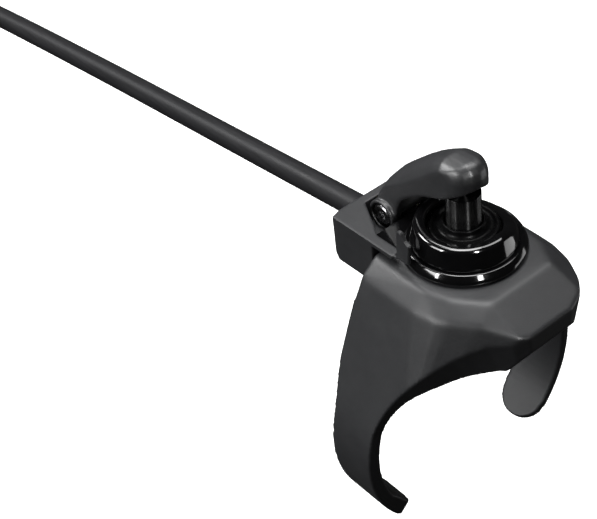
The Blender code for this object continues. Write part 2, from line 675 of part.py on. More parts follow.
def make_rubber_boot():
    """A rolled membrane from the ring's seat to the plunger's neck."""
    inner = POST_R + FIT
    profile = ((4.2, 26.85), (4.2, 27.2), (4.0, 27.5), (3.7, 27.5), (3.4, 27.3), (3.0, 27.25), (2.65, 27.6),
               (2.5, 28.2), (inner, 28.2), (inner, 26.95), (2.9, 26.85), (3.4, 27.0), (3.7, 26.95))
    return turned("rubber_boot", profile, rubber(), 36)


def make_plunger():
    """The post under the lever: blunt head, collar inside the ring, thin foot."""
    foot = 22.5
    profile = ((0.0, foot), (0.9, foot), (0.9, 24.6), (4.1, 24.6), (4.1, 25.2), (POST_R, 25.5),
               (POST_R, POST_TOP - 0.3), (POST_R - 0.3, POST_TOP), (0.0, POST_TOP))
    return turned("plunger", profile, gloss_plastic(), 36)


def make_plunger_spring():
    points = []
    turns = 4
    steps = 48
    low, high = BOARD_TOP + 0.55, 24.35
    for i in range(steps + 1):
        a = 2 * math.pi * turns * i / steps
        points.append((1.9 * math.cos(a), 1.9 * math.sin(a), low + (high - low) * i / steps))
    return tube_curve("plunger_spring", points, 0.13, steel(), 1)


def make_spring_seat():
    """Ring that locates the spring on the board, around the dome."""
    low = BOARD_TOP + 0.1
    profile = ((1.5, low), (3.0, low), (3.0, low + 0.2), (1.5, low + 0.2))
    return turned("spring_seat", profile, gloss_plastic(), 32)


def make_contact_dome():
    """Snap dome under the plunger's foot."""
    low = BOARD_TOP + 0.1
    profile = ((0.0, low + 0.3), (0.0, low + 0.15), (0.6, low + 0.09), (1.1, low), (1.3, low), (1.3, low + 0.08),
               (0.6, low + 0.24))
    return turned("contact_dome", profile, steel(), 24)


def make_circuit_board():
    low = CUP_FLOOR + 0.1
    return turned("circuit_board", ((0.0, low), (4.8, low), (4.8, BOARD_TOP), (0.0, BOARD_TOP)), board_green(), 32)


# --- cable ------------------------------------------------------------------

def make_wires():
    """Two insulated leads from the cable's end to the board."""
    for name, y in zip(("signal_wire", "ground_wire"), WIRE_Y):
        route = ((BORE_END_X + 0.2, y, WIRE_Z), (-11.0, y, WIRE_Z), (-7.5, y, WIRE_Z), (-4.3, y, WIRE_Z - 0.05))
        tube_curve(name, smooth_path(route, 10), WIRE_R, rubber(), 1)


def make_cable_grommet():
    inner = CABLE_R + FIT
    outer = inner + 0.4
    start, end = BLOCK_END_X + 0.05, BORE_END_X - 0.1
    profile = ((inner, start), (outer, start), (outer, end), (inner, end))
    return turned("cable_grommet", profile, rubber(), 28, "X", (0.0, CABLE_Y, CABLE_Z))


def cable_end():
    """Where the cable meets the plug, and the direction that it points there."""
    path = smooth_path(CABLE_ROUTE, CABLE_POINTS)
    return path[-1], (path[-1] - path[-2]).normalized()


def make_cable():
    return tube_curve("cable", smooth_path(CABLE_ROUTE, CABLE_POINTS), CABLE_R, rubber(), 2)


def along_cable(obj, start):
    """Stand a piece turned about X on the cable's end."""
    place, heading = cable_end()
    turn = Vector((1.0, 0.0, 0.0)).rotation_difference(heading)
    obj.rotation_mode = "QUATERNION"
    obj.rotation_quaternion = turn
    obj.location = place + heading * start
    return obj


def make_plug():
    collar = ((0.0, 0.0), (CABLE_R + 0.3, 0.0), (PLUG_R - 0.5, 1.6), (PLUG_R, 2.2), (PLUG_R, 6.0), (2.3, 6.0),
              (2.3, PLUG_LENGTH - 0.3), (2.0, PLUG_LENGTH), (1.3, PLUG_LENGTH), (1.3, 5.0), (0.0, 5.0))
    along_cable(turned("plug_body", collar, rubber(), 24, "X"), GAP)
    seal = [(2.68 + 0.22 * math.cos(a), 8.2 + 0.22 * math.sin(a)) for a in (math.pi * i / 3 for i in range(6))]
    along_cable(turned("plug_seal", seal, rubber(), 24, "X"), GAP)
    pin = ((0.0, 5.2), (0.7, 5.2), (0.7, PLUG_LENGTH - 0.9), (0.4, PLUG_LENGTH - 0.4), (0.0, PLUG_LENGTH - 0.4))
    along_cable(turned("plug_contact", pin, brass(), 16, "X"), GAP)


def shrink_to_metres():
    """Everything above is drawn in millimetres; the scene's unit is the metre.

    A curve's transform shrinks its points and their radii, and so its bevel.
    """
    for obj in bpy.context.scene.objects:
        obj.location *= MM
        obj.data.transform(Matrix.Scale(MM, 4))


def main():
    clear_scene()
    make_bar_clip()
    make_base_screws()
    make_switch_block()
    make_block_cover()
    make_cover_screws()
    make_thumb_lever()
    make_pivot_screw()
    make_pivot_nut()
    make_pivot_bush()
    make_lever_spring()
    make_switch_base()
    make_retaining_ring()
    make_seal_ring()
    make_rubber_boot()
    make_plunger()
    make_plunger_spring()
    make_spring_seat()
    make_contact_dome()
    make_circuit_board()
    make_wires()
    make_cable_grommet()
    make_cable()
    make_plug()
    shrink_to_metres()


main()
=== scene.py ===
"""Looks of a handlebar thumb shifter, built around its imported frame.

Lengths are in millimetres and become metres where a mesh, a curve or a light is made.
X runs along the handlebar, away from the cable; Z points up through the push switch; -Y is the side of the
clip's long tongue.
"""
import math

import bmesh
import bpy
from mathutils import Matrix, Quaternion, Vector


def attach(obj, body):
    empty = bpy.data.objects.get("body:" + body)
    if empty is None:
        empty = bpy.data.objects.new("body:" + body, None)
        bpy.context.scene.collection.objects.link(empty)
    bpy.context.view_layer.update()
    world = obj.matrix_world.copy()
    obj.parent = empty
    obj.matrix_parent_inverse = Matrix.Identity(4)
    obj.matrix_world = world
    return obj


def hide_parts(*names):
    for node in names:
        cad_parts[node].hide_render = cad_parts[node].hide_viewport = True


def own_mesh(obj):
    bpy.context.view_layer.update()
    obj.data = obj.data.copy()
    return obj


MM = 0.001

# The camera's place and angles: azimuth and elevation as seen from the object, then its roll, in degrees.
CAMERA_PLACE = (96.03, -90.98, 135.90)
CAMERA_AZIMUTH = 54.86
CAMERA_ELEVATION = 40.20
CAMERA_ROLL = -7.37
CAMERA_LENS = 90.45

# The cable's route, as in the CAD: along its axis, from inside the block to the plug.
CABLE_ROUTE = (
    (-13.45, -2.0, 22.35),
    (-40.0, -2.0, 19.8),
    (-75.0, -2.1, 16.5),
    (-108.0, -2.9, 13.6),
    (-136.0, -5.2, 11.6),
    (-160.0, -8.4, 10.5),
)
CABLE_R = 1.6
CABLE_POINTS = 80
PLUG_R = 2.9
PLUG_LENGTH = 11.0
PLUG_GAP = 0.3

# The lever's pivot and its hub's half width, heights on the switch, and the screws' places.
PIVOT_X = -10.65
PIVOT_Z = 24.6
HUB_Y = 3.3
CUP_BOTTOM = 18.5
CUP_FLOOR = 20.0
SEAT_Z = 24.3
FLANGE_TOP = 25.5
RING_TOP = 28.2
POST_R = 2.08
POST_BOTTOM = 22.5
POST_TOP = 32.2
COVER_SCREW_Y = (-5.8, 5.8)
BASE_SCREW_X = (-3.4, 3.4)

# Edges sharper than this many degrees stay sharp.
SHARP_ANGLE = 32.0

# Nearly all of a noise texture's values lie between these two.
NOISE_LOW = 0.3
NOISE_HIGH = 0.7

FLOOR_Z = -80.0
FLOOR_RADIUS = 6000.0
WORLD_STRENGTH = 0.02

# Each light: its name, place and target, then its width, height and power in watts.
SOFTBOXES = (
    ("overhead", (-50.0, 20.0, 900.0), (0.0, 0.0, 0.0), 480.0, 480.0, 6.0),
    ("far_right", (100.0, 360.0, 700.0), (0.0, 0.0, 10.0), 360.0, 360.0, 2.6),
    ("left", (-170.0, -700.0, 350.0), (0.0, 0.0, 0.0), 360.0, 300.0, 4.2),
    ("shoulder", (-560.0, -270.0, 520.0), (0.0, 0.0, 20.0), 300.0, 200.0, 5.0),
)
# These light nothing and only show as reflections in glossy surfaces.
CARDS = (
    ("ceiling_card", (40.0, -60.0, 800.0), (0.0, 0.0, 20.0), 420.0, 420.0, 3.0),
    ("far_card", (-330.0, 230.0, 720.0), (0.0, 0.0, 20.0), 240.0, 240.0, 2.0),
    ("right_card", (120.0, 200.0, -35.0), (0.0, 0.0, 26.0), 140.0, 90.0, 0.08),
    ("front_card", (236.0, -82.0, 140.0), (0.0, 0.0, 28.0), 30.0, 100.0, 0.7),
    ("left_card", (-10.0, -285.0, 130.0), (0.0, 0.0, 28.0), 20.0, 100.0, 0.26),
)

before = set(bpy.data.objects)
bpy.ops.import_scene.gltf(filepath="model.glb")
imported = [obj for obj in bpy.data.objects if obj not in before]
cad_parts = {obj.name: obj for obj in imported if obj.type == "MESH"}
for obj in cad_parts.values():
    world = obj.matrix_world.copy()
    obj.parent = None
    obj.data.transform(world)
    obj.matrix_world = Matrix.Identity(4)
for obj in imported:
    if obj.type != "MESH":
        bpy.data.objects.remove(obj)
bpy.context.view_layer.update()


# --- meshes -----------------------------------------------------------------

def add_mesh(name, bm, sharp_angle=SHARP_ANGLE):
    """A new object from a bmesh drawn in millimetres, smooth but for its sharp edges."""
    bmesh.ops.scale(bm, verts=bm.verts, vec=(MM, MM, MM))
    bmesh.ops.recalc_face_normals(bm, faces=bm.faces)
    mesh = bpy.data.meshes.new(name)
    bm.to_mesh(mesh)
    bm.free()
    mesh.shade_smooth()
    mesh.set_sharp_from_angle(angle=math.radians(sharp_angle))
    obj = bpy.data.objects.new(name, mesh)
    bpy.context.scene.collection.objects.link(obj)
    return obj


def apply_modifiers(obj):
    """Turn what the object's modifiers make into its own mesh."""
    bpy.context.view_layer.update()
    graph = bpy.context.evaluated_depsgraph_get()
    mesh = bpy.data.meshes.new_from_object(obj.evaluated_get(graph))
    obj.modifiers.clear()
    obj.data = mesh
    return obj


def combine(obj, tool, operation):
    """Cut the tool out of the object or join it on, then drop the tool."""
    modifier = obj.modifiers.new(operation, "BOOLEAN")
    modifier.operation = operation
    modifier.object = tool
    apply_modifiers(obj)
    bpy.data.objects.remove(tool)
    obj.data.shade_smooth()
    obj.data.set_sharp_from_angle(angle=math.radians(SHARP_ANGLE))
    return obj


def rounded(profile, radius, steps=5):
    """A closed (radius, height) outline with its corners off the axis turned into small curves.

    Each such corner becomes steps + 1 points.
    """
    points = [Vector(p) for p in profile]
    outline = []
    for before, corner, after in zip(points[-1:] + points[:-1], points, points[1:] + points[:1]):
        if corner.x < 1e-6:
            outline.append(corner)
            continue
        reach = min(radius, 0.45 * (before - corner).length, 0.45 * (after - corner).length)
        start = corner + (before - corner).normalized() * reach
        end = corner + (after - corner).normalized() * reach
        for i in range(steps + 1):
            t = i / steps
            outline.append(start * (1 - t) ** 2 + corner * 2 * t * (1 - t) + end * t ** 2)
    return outline


def turned_mesh(profile, segments=144, axis="Z", centre=(0.0, 0.0, 0.0)):
    """A bmesh of a closed profile turned about an axis through a centre."""
    bm = bmesh.new()
    rings = []
    for radius, height in profile:
        if radius < 1e-6:
            rings.append([bm.verts.new((0.0, 0.0, height))])
            continue
        rings.append([bm.verts.new((radius * math.cos(a), radius * math.sin(a), height))
                      for a in (2 * math.pi * i / segments for i in range(segments))])
    for ring, after in zip(rings, rings[1:] + rings[:1]):
        if len(ring) == 1 and len(after) == 1:
            continue
        for i in range(segments):
            j = (i + 1) % segments
            if len(ring) == 1:
                bm.faces.new((ring[0], after[j], after[i]))
            elif len(after) == 1:
                bm.faces.new((ring[i], ring[j], after[0]))
            else:
                bm.faces.new((ring[i], ring[j], after[j], after[i]))
    turn = {"Z": Matrix.Identity(3), "Y": Matrix.Rotation(-math.pi / 2, 3, "X"),
            "X": Matrix.Rotation(math.pi / 2, 3, "Y")}[axis]
    bmesh.ops.rotate(bm, verts=bm.verts, matrix=turn)
    bmesh.ops.translate(bm, verts=bm.verts, vec=centre)
    return bm


def box_mesh(low, high):
    """A bmesh of a box between two opposite corners."""
    bm = bmesh.new()
    bmesh.ops.create_cube(bm, size=1.0)
    bmesh.ops.scale(bm, verts=bm.verts, vec=[b - a for a, b in zip(low, high)])
    bmesh.ops.translate(bm, verts=bm.verts, vec=[(a + b) / 2 for a, b in zip(low, high)])
    return bm


def wire_mesh(path, radius, sides=10):
    """A round wire along a path, closed at both ends."""
    bm = bmesh.new()
    rings = []
    for i, place in enumerate(path):
        heading = (path[min(i + 1, len(path) - 1)] - path[max(i - 1, 0)]).normalized()
        across = heading.cross(Vector((0.0, 0.0, 1.0))).normalized()
        above = across.cross(heading)
        rings.append([bm.verts.new(place + radius * (across * math.cos(a) + above * math.sin(a)))
                      for a in (2 * math.pi * k / sides for k in range(sides))])
    for ring, after in zip(rings, rings[1:]):
        for k in range(sides):
            bm.faces.new((ring[k], ring[(k + 1) % sides], after[(k + 1) % sides], after[k]))
    bm.faces.new(rings[0][::-1])
    bm.faces.new(rings[-1])
    return bm


def smooth_step(t):
    """0 up to t = 0, 1 from t = 1, and a soft rise between."""
    t = min(max(t, 0.0), 1.0)
    return t * t * (3 - 2 * t)


def moulded(name, node, voxel, rounds, extra_rounds=0, extra=None):
    """A CAD node as it leaves its mould: rebuilt on a fine grid, with its edges relaxed into soft radii.

    Edges get extra_rounds more passes where extra, a function of a place in millimetres, is 1 and not 0.
    """
    obj = bpy.data.objects.new(name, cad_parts[node].data.copy())
    bpy.context.scene.collection.objects.link(obj)
    obj.data.materials.clear()
    bm = bmesh.new()
    bm.from_mesh(obj.data)
    bmesh.ops.remove_doubles(bm, verts=bm.verts, dist=1e-6)
    bm.to_mesh(obj.data)
    bm.free()
    grid = obj.modifiers.new("grid", "REMESH")
    grid.mode = "VOXEL"
    grid.voxel_size = voxel * MM
    apply_modifiers(obj)
    if extra:
        group = obj.vertex_groups.new(name="extra")
        for vertex in obj.data.vertices:
            group.add([vertex.index], extra(vertex.co / MM), "REPLACE")
        soften(obj, extra_rounds, "extra")
    soften(obj, rounds)
    apply_modifiers(obj)
    obj.vertex_groups.clear()
    obj.data.shade_smooth()
    return obj


def soften(obj, rounds, group=""):
    """Relax the object's edges, everywhere or by the weights of a vertex group."""
    relax = obj.modifiers.new("relax", "SMOOTH")
    relax.factor = 0.5
    relax.iterations = rounds
    relax.vertex_group = group


def smooth_path(route, count):
    """Points spaced evenly by parameter on a Catmull-Rom curve through a route."""
    knots = [Vector(p) for p in route]
    knots = [2 * knots[0] - knots[1]] + knots + [2 * knots[-1] - knots[-2]]
    spans = len(route) - 1
    path = []
    for i in range(count):
        t = spans * i / (count - 1)
        k = min(int(t), spans - 1)
        t -= k
        a, b, c, d = knots[k:k + 4]
        path.append(0.5 * (2 * b + (c - a) * t + (2 * a - 5 * b + 4 * c - d) * t ** 2
                           + (3 * b - a - 3 * c + d) * t ** 3))
    return path


# --- materials --------------------------------------------------------------

def new_material(name, roughness, metallic=0.0, specular=0.5):
    """A new material and its Principled shader."""
    material = bpy.data.materials.new(name)
    material.use_nodes = True
    shader = material.node_tree.nodes["Principled BSDF"]
    shader.inputs["Roughness"].default_value = roughness
    shader.inputs["Metallic"].default_value = metallic
    shader.inputs["Specular IOR Level"].default_value = specular
    return material, shader


def noise(material, scale, detail=3.0, roughness=0.55, stretch=None):
    """A noise texture in the object's own space; scale is in cells per millimetre."""
    tree = material.node_tree
    place = tree.nodes.new("ShaderNodeTexCoord").outputs["Object"]
    if stretch:
        mapping = tree.nodes.new("ShaderNodeMapping")
        mapping.inputs["Scale"].default_value = stretch
        tree.links.new(place, mapping.inputs["Vector"])
        place = mapping.outputs["Vector"]
    texture = tree.nodes.new("ShaderNodeTexNoise")
    texture.inputs["Scale"].default_value = scale / MM
    texture.inputs["Detail"].default_value = detail
    texture.inputs["Roughness"].default_value = roughness
    tree.links.new(place, texture.inputs["Vector"])
    return texture.outputs["Fac"]


def blend_colours(material, shader, factor, dark, light):
    """Base colour between two shades, by a noise factor."""
    tree = material.node_tree
    ramp = tree.nodes.new("ShaderNodeValToRGB")
    ramp.color_ramp.elements[0].position = NOISE_LOW
    ramp.color_ramp.elements[0].color = (*dark, 1.0)
    ramp.color_ramp.elements[1].position = NOISE_HIGH
    ramp.color_ramp.elements[1].color = (*light, 1.0)
    tree.links.new(factor, ramp.inputs["Fac"])
    tree.links.new(ramp.outputs["Color"], shader.inputs["Base Color"])


def vary_roughness(material, shader, factor, low, high):
    """Roughness between two values, by a noise factor."""
    tree = material.node_tree
    span = tree.nodes.new("ShaderNodeMapRange")
    span.inputs["From Min"].default_value = NOISE_LOW
    span.inputs["From Max"].default_value = NOISE_HIGH
    span.inputs["To Min"].default_value = low
    span.inputs["To Max"].default_value = high
    tree.links.new(factor, span.inputs["Value"])
    tree.links.new(span.outputs["Result"], shader.inputs["Roughness"])


def add_bump(material, shader, factor, height, strength=1.0):
    """Relief of a height in millimetres."""
    tree = material.node_tree
    bump = tree.nodes.new("ShaderNodeBump")
    bump.inputs["Strength"].default_value = strength
    bump.inputs["Distance"].default_value = height * MM
    tree.links.new(factor, bump.inputs["Height"])
    tree.links.new(bump.outputs["Normal"], shader.inputs["Normal"])


def matte_plastic(name, roughness, specular):
    """Dark grey glass-filled nylon from a spark-eroded mould: an even, very fine grain."""
    material, shader = new_material(name, roughness, specular=specular)
    clouds = noise(material, 0.35, 4.0)
    blend_colours(material, shader, clouds, (0.021, 0.0215, 0.023), (0.026, 0.0265, 0.028))
    vary_roughness(material, shader, noise(material, 3.0, 4.0), roughness - 0.03, roughness + 0.04)
    add_bump(material, shader, noise(material, 5.5, 2.0, 0.6), 0.012, 0.5)
    return material


def gloss_plastic(name, low, high, specular, anisotropy=0.0):
    """Polished black plastic, with faint handling haze; anisotropy draws its highlights out along Z."""
    material, shader = new_material(name, low, specular=specular)
    clouds = noise(material, 0.5, 3.0)
    blend_colours(material, shader, clouds, (0.0018, 0.0018, 0.002), (0.0032, 0.0032, 0.0035))
    vary_roughness(material, shader, noise(material, 0.8, 5.0, 0.7), low, high)
    if anisotropy:
        shader.inputs["Anisotropic"].default_value = anisotropy
        shader.inputs["Anisotropic Rotation"].default_value = 0.25
        tangent = material.node_tree.nodes.new("ShaderNodeTangent")
        tangent.direction_type = "RADIAL"
        tangent.axis = "Z"
        material.node_tree.links.new(tangent.outputs["Tangent"], shader.inputs["Tangent"])
    return material


def soft_rubber():
    """Satin black rubber of the boot, the seals and the plug."""
    material, shader = new_material("soft_rubber", 0.3, specular=0.06)
    clouds = noise(material, 0.8, 4.0)
    blend_colours(material, shader, clouds, (0.002, 0.002, 0.0022), (0.004, 0.004, 0.0042))
    vary_roughness(material, shader, noise(material, 1.5, 3.0), 0.24, 0.34)
    add_bump(material, shader, noise(material, 4.0, 3.0), 0.008, 0.4)
    return material


def cable_jacket():
    """Extruded jacket: a satin surface with faint lines along its length."""
    material, shader = new_material("cable_jacket", 0.5, specular=0.15)
    lines = noise(material, 2.2, 3.0, 0.6, (0.06, 1.0, 1.0))
    blend_colours(material, shader, lines, (0.012, 0.012, 0.013), (0.0165, 0.0165, 0.0178))
    vary_roughness(material, shader, lines, 0.4, 0.52)
    add_bump(material, shader, noise(material, 3.5, 2.0, 0.5, (0.25, 1.0, 1.0)), 0.01, 0.4)
    return material


def steel(name, dark, light, low, high):
    """Turned metal: fine marks in its colour and its gloss."""
    material, shader = new_material(name, low, metallic=1.0)
    marks = noise(material, 1.6, 4.0, 0.6, (1.0, 1.0, 6.0))
    blend_colours(material, shader, marks, dark, light)
    vary_roughness(material, shader, marks, low, high)
    add_bump(material, shader, noise(material, 6.0, 2.0), 0.004, 0.4)
    return material


def board_laminate():
    """The circuit board's green laminate."""
    material, shader = new_material("board_laminate", 0.4)
    blend_colours(material, shader, noise(material, 1.0, 4.0), (0.008, 0.075, 0.03), (0.02, 0.13, 0.05))
    vary_roughness(material, shader, noise(material, 2.0), 0.3, 0.5)
    return material


def insulation(name, dark, light):
    """A wire's coloured sleeve."""
    material, shader = new_material(name, 0.4)
    blend_colours(material, shader, noise(material, 2.0, 3.0), dark, light)
    vary_roughness(material, shader, noise(material, 3.0), 0.35, 0.5)
    return material


MATERIALS = {
    "matte": matte_plastic("matte_plastic", 0.42, 0.35),
    "lever": matte_plastic("lever_plastic", 0.38, 0.5),
    "gloss": gloss_plastic("gloss_plastic", 0.06, 0.13, 0.7),
    "post": gloss_plastic("post_plastic", 0.2, 0.24, 0.85, anisotropy=1.0),
    "rubber": soft_rubber(),
    "cable": cable_jacket(),
    "bright_steel": steel("bright_steel", (0.5, 0.5, 0.51), (0.66, 0.66, 0.67), 0.22, 0.34),
    "black_steel": steel("black_steel", (0.11, 0.11, 0.113), (0.19, 0.19, 0.194), 0.2, 0.32),
    "brass": steel("brass", (0.66, 0.46, 0.2), (0.8, 0.58, 0.28), 0.2, 0.32),
    "board": board_laminate(),
    "red_wire": insulation("red_wire", (0.3, 0.015, 0.012), (0.4, 0.025, 0.02)),
    "black_wire": insulation("black_wire", (0.01, 0.01, 0.011), (0.02, 0.02, 0.021)),
}


def finish_piece(obj, look, body, slot, *nodes):
    """Give a piece its material and its body, and hide the CAD nodes that it stands for; slot is not used."""
    obj.data.materials.clear()
    obj.data.materials.append(MATERIALS[look])
    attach(obj, body)
    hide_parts(*nodes)
    return obj


# --- mouldings --------------------------------------------------------------

def plate_mesh(outline, low_y, high_y, lean):
    """An upright plate from an (x, height) outline; its top leans by lean along Y."""
    bm = bmesh.new()
    foot = min(z for x, z in outline)
    rise = max(z for x, z in outline) - foot
    sides = [[bm.verts.new((x, y + lean * (z - foot) / rise, z)) for x, z in outline]
             for y in (low_y, high_y)]
    bm.faces.new(sides[0])
    bm.faces.new(sides[1][::-1])
    for i in range(len(outline)):
        j = (i + 1) % len(outline)
        bm.faces.new((sides[0][j], sides[0][i], sides[1][i], sides[1][j]))
    bmesh.ops.bevel(bm, geom=bm.edges[:] + bm.verts[:], offset=0.09, segments=3, affect="EDGES",
                    clamp_overlap=True)
    return bm


def make_tab(block):
    """The stepped stop at the rail's end, in place of the CAD's plain one."""
    plain_tab = box_mesh((-3.6, -9.0, 25.62), (0.0, -6.0, 30.0))
    combine(block, add_mesh("tab_room", plain_tab), "DIFFERENCE")
    outline = ((-3.1, 25.3), (-1.1, 25.3), (-1.05, 27.9), (-1.85, 28.05), (-2.2, 28.5), (-2.4, 29.05),
               (-2.9, 29.1), (-3.15, 28.9))
    combine(block, add_mesh("stop", plate_mesh(outline, -7.8, -7.3, 0.3)), "UNION")


def crown_share(place):
    """The clip's crown is rounder than its tongues and its lip, most of all towards the cable."""
    return smooth_step((place.z - 18.5) / 3.5) * (1.0 - 0.6 * smooth_step((place.x - 8.0) / 4.0))


def lever_share(place):
    """The lever is rounder above its knuckle."""
    return smooth_step((place.z - 25.5) / 2.0)


def make_mouldings():
    """The clip, the block and the lever."""
    clip = moulded("clip_moulding", "bar_clip", voxel=0.2, rounds=4, extra_rounds=48, extra=crown_share)
    finish_piece(clip, "matte", "housing", "clip_plastic", "bar_clip")
    block = moulded("block_moulding", "switch_block", voxel=0.12, rounds=4)
    make_tab(block)
    finish_piece(block, "matte", "housing", "clip_plastic", "switch_block")
    lever = moulded("lever_moulding", "thumb_lever", voxel=0.11, rounds=5, extra_rounds=26, extra=lever_share)
    finish_piece(lever, "lever", "lever", "clip_plastic", "thumb_lever")


# --- push switch ------------------------------------------------------------

def make_base():
    """The glossy flange with its groove and rim, the tail under the lever, and the cup below."""
    outside = ((5.4, CUP_BOTTOM), (5.7, 18.8), (5.7, SEAT_Z), (7.35, SEAT_Z), (7.23, 24.75),
               (6.8, FLANGE_TOP), (6.4, 25.4), (5.0, 25.35))
    profile = [(0.0, CUP_BOTTOM)] + rounded(outside, 0.3) + [(5.0, CUP_FLOOR), (0.0, CUP_FLOOR)]
    base = add_mesh("switch_flange", turned_mesh(profile))
    tail = add_mesh("tail", box_mesh((-8.1, -6.35, SEAT_Z), (0.0, 4.6, 25.0)))
    cup_room = turned_mesh(((0.0, 19.0), (6.1, 19.0), (6.1, 30.0), (0.0, 30.0)))
    combine(tail, add_mesh("cup_room", cup_room), "DIFFERENCE")
    combine(base, tail, "UNION")
    wire_slot = box_mesh((-6.5, -3.0, 20.85), (-4.0, -1.0, 22.2))
    combine(base, add_mesh("wire_slot", wire_slot), "DIFFERENCE")
    finish_piece(base, "gloss", "housing", "gloss_black", "switch_base")


def make_ring():
    """The retaining ring; its top falls away on the far side."""
    base_r, top_r, bore_r, neck_r, lip_r = 6.3, 5.75, 4.35, 4.85, 4.1
    outline = ((bore_r, SEAT_Z), (neck_r, SEAT_Z), (neck_r, FLANGE_TOP), (base_r, FLANGE_TOP),
               (base_r, 25.75), (top_r, RING_TOP), (bore_r, RING_TOP), (bore_r, 26.7), (lip_r, 26.7),
               (lip_r, 26.0))
    bm = turned_mesh(rounded(outline, 0.62, 10))
    slope, slope_start_y, level_z = 0.33, 0.6, 26.0
    for vertex in bm.verts:
        height = vertex.co.z
        if height > level_z:
            drop = slope * max(vertex.co.y - slope_start_y, 0.0)
            share = (height - level_z) / (RING_TOP - level_z)
            vertex.co.z = height - drop * share
    ring = add_mesh("gloss_ring", bm)
    finish_piece(ring, "gloss", "housing", "gloss_black", "retaining_ring")


def make_boot():
    """The rubber boot: a rolled ring that lies round the post, with a lip up its side."""
    inner = POST_R + 0.15
    outline = ((4.2, 26.85), (4.2, 27.2), (4.0, 27.5), (3.7, 27.5), (3.4, 27.3), (3.0, 27.25), (2.65, 27.6),
               (2.5, RING_TOP), (inner, RING_TOP), (inner, 26.95), (2.9, 26.85), (3.4, 27.0), (3.7, 26.95))
    boot = add_mesh("rolled_boot", turned_mesh(rounded(outline, 0.2, 5)), 60.0)
    finish_piece(boot, "rubber", "housing", "soft_rubber", "rubber_boot")


def make_post():
    """The round post, with a collar under the boot and a pin below."""
    outline = ((0.9, POST_BOTTOM), (0.9, 24.6), (4.1, 24.6), (4.1, 25.2), (POST_R, 25.5), (POST_R, POST_TOP))
    steps = 6
    # The pin's end gets a bevel: of that corner's curve only the last point stays.
    profile = [(0.0, POST_BOTTOM)] + rounded(outline, 0.25, steps)[steps:] + [(0.0, POST_TOP)]
    post = add_mesh("push_post", turned_mesh(profile))
    finish_piece(post, "post", "button", "gloss_black", "plunger")


def make_plunger_spring():
    """Four turns under the plunger."""
    low, high, coil_r, wire_r, turns, steps = 21.3, 24.35, 1.9, 0.13, 4, 192
    angles = [2 * math.pi * turns * i / steps for i in range(steps + 1)]
    path = [Vector((coil_r * math.cos(a), coil_r * math.sin(a), low + (high - low) * i / steps))
            for i, a in enumerate(angles)]
    spring = add_mesh("coil_spring", wire_mesh(path, wire_r))
    finish_piece(spring, "bright_steel", "housing", "bright_steel", "plunger_spring")
    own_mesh(spring)


# --- screws -----------------------------------------------------------------

def screw_profile(start, end, face_r, head_r, bevel, head_height, shank_r):
    """Half a section of a screw from its head's face, at start, to its shank's end."""
    return ((0.0, start), (face_r, start), (head_r, start + bevel), (head_r, start + head_height),
            (shank_r, start + head_height), (shank_r, end), (0.0, end))


def socket_screw(name, profile, socket_r, socket_depth, axis, centre, look, body, slot, node):
    """A screw with a six-sided socket in the face at the profile's first height."""
    screw = add_mesh(name, turned_mesh(rounded(profile, 0.08, 4), 72, axis, centre))
    start = profile[0][1]
    hexagon = turned_mesh(((0.0, start - 0.5), (socket_r, start - 0.5), (socket_r, start + socket_depth),
                           (0.0, start + socket_depth)), 6, axis, centre)
    combine(screw, add_mesh("hexagon", hexagon), "DIFFERENCE")
    finish_piece(screw, look, body, slot, node)


def make_screws():
    """The pivot's screw, then the pair under the switch and the pair under the block."""
    pivot = screw_profile(-HUB_Y + 0.05, HUB_Y - 0.15, face_r=1.15, head_r=1.4, bevel=0.2, head_height=0.45,
                          shank_r=0.5)
    socket_screw("pivot_screw_fine", pivot, 0.72, 0.4, "Y", (PIVOT_X, 0.0, PIVOT_Z), "black_steel", "lever",
                 "black_steel", "pivot_screw")
    base = screw_profile(16.3, 19.6, face_r=1.1, head_r=1.2, bevel=0.1, head_height=0.75, shank_r=0.6)
    for i, x in enumerate(BASE_SCREW_X, 1):
        socket_screw(f"base_screw_{i}_fine", base, 0.52, 0.45, "Z", (x, 0.0, 0.0), "bright_steel",
                     "housing", "bright_steel", f"base_screw_{i}")
    cover = screw_profile(19.3, 22.7, face_r=0.85, head_r=0.9, bevel=0.05, head_height=0.35, shank_r=0.5)
    for i, y in enumerate(COVER_SCREW_Y, 1):
        socket_screw(f"cover_screw_{i}_fine", cover, 0.4, 0.25, "Z", (PIVOT_X, y, 0.0), "bright_steel",
                     "housing", "bright_steel", f"cover_screw_{i}")


# --- cable ------------------------------------------------------------------

def make_plug(path):
    """The plug's body with three grip grooves; its collar reaches back over the cable's end."""
    heading = (path[-1] - path[-2]).normalized()
    turn = Vector((0.0, 0.0, 1.0)).rotation_difference(heading).to_matrix()
    collar_r = CABLE_R + 0.02
    collar = -PLUG_GAP - 0.6
    groove_r = PLUG_R - 0.25
    socket_r, socket_floor = 1.3, 5.0
    outline = [(collar_r, collar), (CABLE_R + 0.35, collar), (PLUG_R - 0.5, 1.6)]
    for start in (2.2, 3.4, 4.6):
        outline += [(PLUG_R, start), (PLUG_R, start + 0.7), (groove_r, start + 0.8), (groove_r, start + 1.1)]
    outline += [(2.3, 6.0), (2.3, PLUG_LENGTH - 0.3), (2.0, PLUG_LENGTH), (socket_r, PLUG_LENGTH),
                (socket_r, socket_floor)]
    steps = 4
    # The collar's inner corner is left out whole, so its mouth widens towards its edge.
    skin = rounded(outline, 0.15, steps)[steps + 1:]
    profile = [(0.0, 0.0), (collar_r, 0.0)] + skin + [(0.0, socket_floor)]
    bm = turned_mesh(profile, 96)
    bmesh.ops.rotate(bm, verts=bm.verts, matrix=turn)
    bmesh.ops.translate(bm, verts=bm.verts, vec=path[-1] + heading * PLUG_GAP)
    return finish_piece(add_mesh("plug_shell", bm), "rubber", "housing", "soft_rubber", "plug_body")


